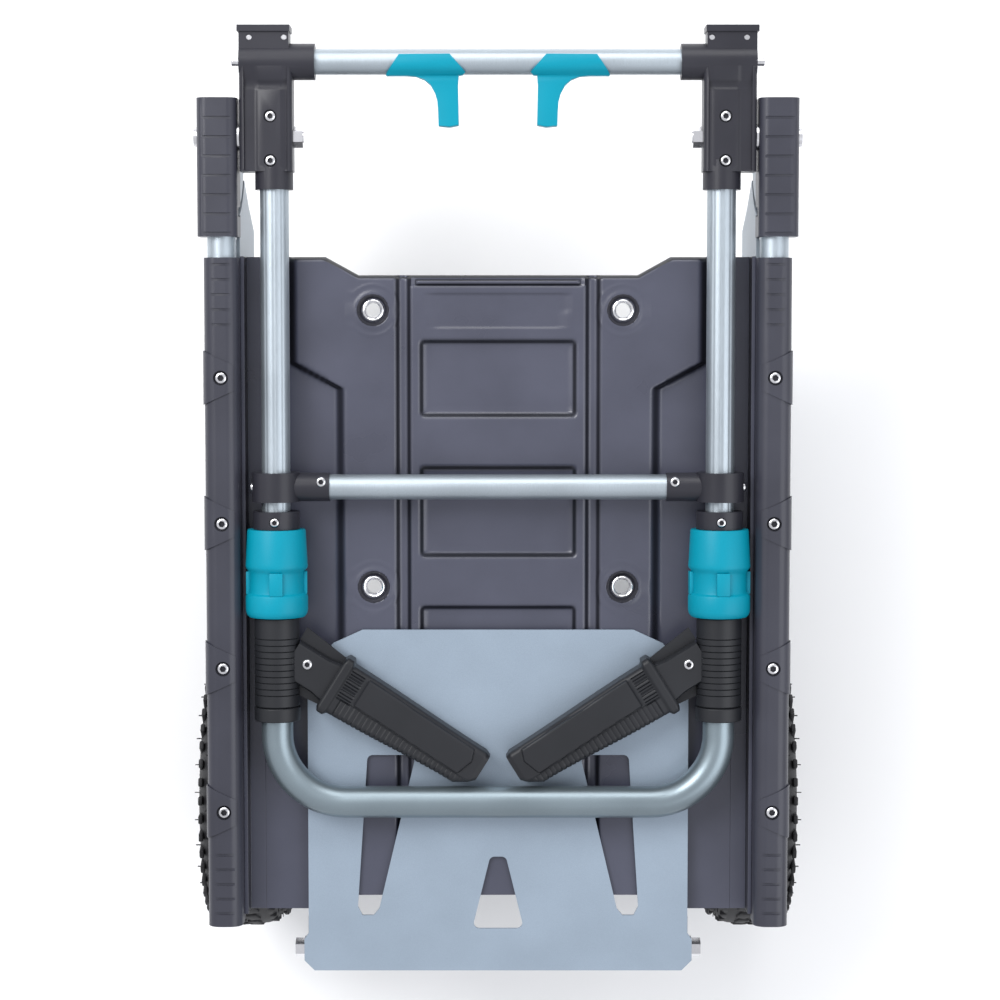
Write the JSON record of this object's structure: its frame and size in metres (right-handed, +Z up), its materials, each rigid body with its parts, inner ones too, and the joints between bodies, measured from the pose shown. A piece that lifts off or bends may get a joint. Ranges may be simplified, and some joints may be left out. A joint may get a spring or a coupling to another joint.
{
  "type": "folding platform cart",
  "caption": "Folding platform cart and hand truck: moulded deck between tube rails, folded telescopic handle with swing-out grips, hinged toe plate, two large wheels and castors.",
  "frame": {"origin": "on the floor under the middle of the cart", "axes": "+X across the cart, +Y along it towards the handle pivots, +Z up from the floor"},
  "size_m": [0.5484, 0.833, 0.3273],
  "materials": {
    "deck_plastic": "fine-textured moulded tray",
    "cover_plastic": "satin moulded cover",
    "joint_plastic": "satin moulded joint",
    "tube_metal": "drawn tube",
    "push_metal": "silver powder coat",
    "toe_steel": "blue-grey powder coat",
    "bracket_steel": "silver powder coat",
    "zinc": "bright zinc",
    "trigger_plastic": "teal moulding",
    "tyre_rubber": "black rubber",
    "grip_rubber": "soft-touch black",
    "rim_plastic": "black rim",
    "castor_rubber": "black tread",
    "castor_plastic": "grey core"
  },
  "bodies": {
    "chassis": {"deck": "deck_plastic", "rail_tube_l": "tube_metal", "rail_tube_r": "tube_metal", "rail_cover_l": "cover_plastic", "rail_cover_r": "cover_plastic", "rail_screws": "zinc", "end_housing_l": "cover_plastic", "end_housing_r": "cover_plastic", "wear_plates": "bracket_steel", "pivot_bolts": "zinc", "eyelets": "zinc", "cross_beams": "bracket_steel", "axle_brackets": "bracket_steel", "bracket_bolts": "zinc", "axle": "zinc", "axle_collars": "zinc", "toe_hinge_bolts": "zinc", "castor_carriers": "bracket_steel", "castor_plates": "zinc", "castor_bolts": "zinc"},
    "toe_plate": {"toe_plate": "toe_steel"},
    "wheel_l": {"tyre_l": "tyre_rubber", "rim_l": "rim_plastic"},
    "castor_swivel_l": {"castor_fork_l": "zinc", "castor_axle_l": "zinc"},
    "castor_wheel_l": {"castor_tyre_l": "castor_rubber", "castor_core_l": "castor_plastic"},
    "wheel_r": {"tyre_r": "tyre_rubber", "rim_r": "rim_plastic"},
    "castor_swivel_r": {"castor_fork_r": "zinc", "castor_axle_r": "zinc"},
    "castor_wheel_r": {"castor_tyre_r": "castor_rubber", "castor_core_r": "castor_plastic"},
    "handle_frame": {"pivot_bracket_l": "joint_plastic", "pivot_bracket_r": "joint_plastic", "buffer_blocks": "joint_plastic", "cross_bar": "tube_metal", "upright_l": "tube_metal", "upright_r": "tube_metal", "brace_connector_l": "joint_plastic", "brace_connector_r": "joint_plastic", "brace": "tube_metal", "frame_screws": "zinc"},
    "lock_l": {"trigger_l": "trigger_plastic", "lock_rod_l": "zinc"},
    "lock_r": {"trigger_r": "trigger_plastic", "lock_rod_r": "zinc"},
    "push_handle": {"push_tube": "push_metal", "lock_cores": "joint_plastic", "core_screws": "zinc", "end_rings": "grip_rubber"},
    "twist_l": {"twist_sleeve_l": "trigger_plastic"},
    "grip_arm_l": {"grip_sleeve_l": "grip_rubber", "grip_l": "grip_rubber", "grip_screw_l": "zinc"},
    "twist_r": {"twist_sleeve_r": "trigger_plastic"},
    "grip_arm_r": {"grip_sleeve_r": "grip_rubber", "grip_r": "grip_rubber", "grip_screw_r": "zinc"}
  },
  "joints": [
    {"name": "handle_fold", "type": "hinge", "parent": "chassis", "child": "handle_frame", "pos_m": [0, 0.3215, 0.3], "axis": [-1, 0, 0], "range_deg": [0, 180]},
    {"name": "toe_fold", "type": "hinge", "parent": "chassis", "child": "toe_plate", "pos_m": [0, -0.398, 0.271], "axis": [1, 0, 0], "range_deg": [0, 90]},
    {"name": "wheel_spin_l", "type": "hinge", "parent": "chassis", "child": "wheel_l", "pos_m": [-0.234, -0.2785, 0.13], "axis": [1, 0, 0], "continuous": true},
    {"name": "castor_swivel_l", "type": "hinge", "parent": "chassis", "child": "castor_swivel_l", "pos_m": [-0.18, 0.153, 0.1387], "axis": [0, 0, 1], "continuous": true},
    {"name": "castor_spin_l", "type": "hinge", "parent": "castor_swivel_l", "child": "castor_wheel_l", "pos_m": [-0.18, 0.117, 0.0625], "axis": [1, 0, 0], "continuous": true},
    {"name": "trigger_slide_l", "type": "slide", "parent": "handle_frame", "child": "lock_l", "axis": [1, 0, 0], "range_m": [0, 0.01], "stiffness_N_per_m": 800, "springref_m": -0.01},
    {"name": "wheel_spin_r", "type": "hinge", "parent": "chassis", "child": "wheel_r", "pos_m": [0.234, -0.2785, 0.13], "axis": [1, 0, 0], "continuous": true},
    {"name": "castor_swivel_r", "type": "hinge", "parent": "chassis", "child": "castor_swivel_r", "pos_m": [0.18, 0.153, 0.1387], "axis": [0, 0, 1], "continuous": true},
    {"name": "castor_spin_r", "type": "hinge", "parent": "castor_swivel_r", "child": "castor_wheel_r", "pos_m": [0.18, 0.117, 0.0625], "axis": [1, 0, 0], "continuous": true},
    {"name": "trigger_slide_r", "type": "slide", "parent": "handle_frame", "child": "lock_r", "axis": [-1, 0, 0], "range_m": [0, 0.01], "stiffness_N_per_m": 800, "springref_m": -0.01},
    {"name": "telescope", "type": "slide", "parent": "handle_frame", "child": "push_handle", "axis": [0, -1, 0], "range_m": [0, 0.13]},
    {"name": "sleeve_twist_l", "type": "hinge", "parent": "push_handle", "child": "twist_l", "pos_m": [-0.194, -0.058, 0.3], "axis": [0, 1, 0], "range_deg": [0, 90]},
    {"name": "grip_swing_l", "type": "hinge", "parent": "push_handle", "child": "grip_arm_l", "pos_m": [-0.194, -0.135, 0.3], "axis": [0, -1, 0], "range_deg": [0, 90]},
    {"name": "sleeve_twist_r", "type": "hinge", "parent": "push_handle", "child": "twist_r", "pos_m": [0.194, -0.058, 0.3], "axis": [0, 1, 0], "range_deg": [0, 90]},
    {"name": "grip_swing_r", "type": "hinge", "parent": "push_handle", "child": "grip_arm_r", "pos_m": [0.194, -0.135, 0.3], "axis": [0, 1, 0], "range_deg": [0, 90]}
  ],
  "couplings": [
    {"joint": "toe_fold", "follows": "handle_fold", "ratio": 0.5}
  ]
}
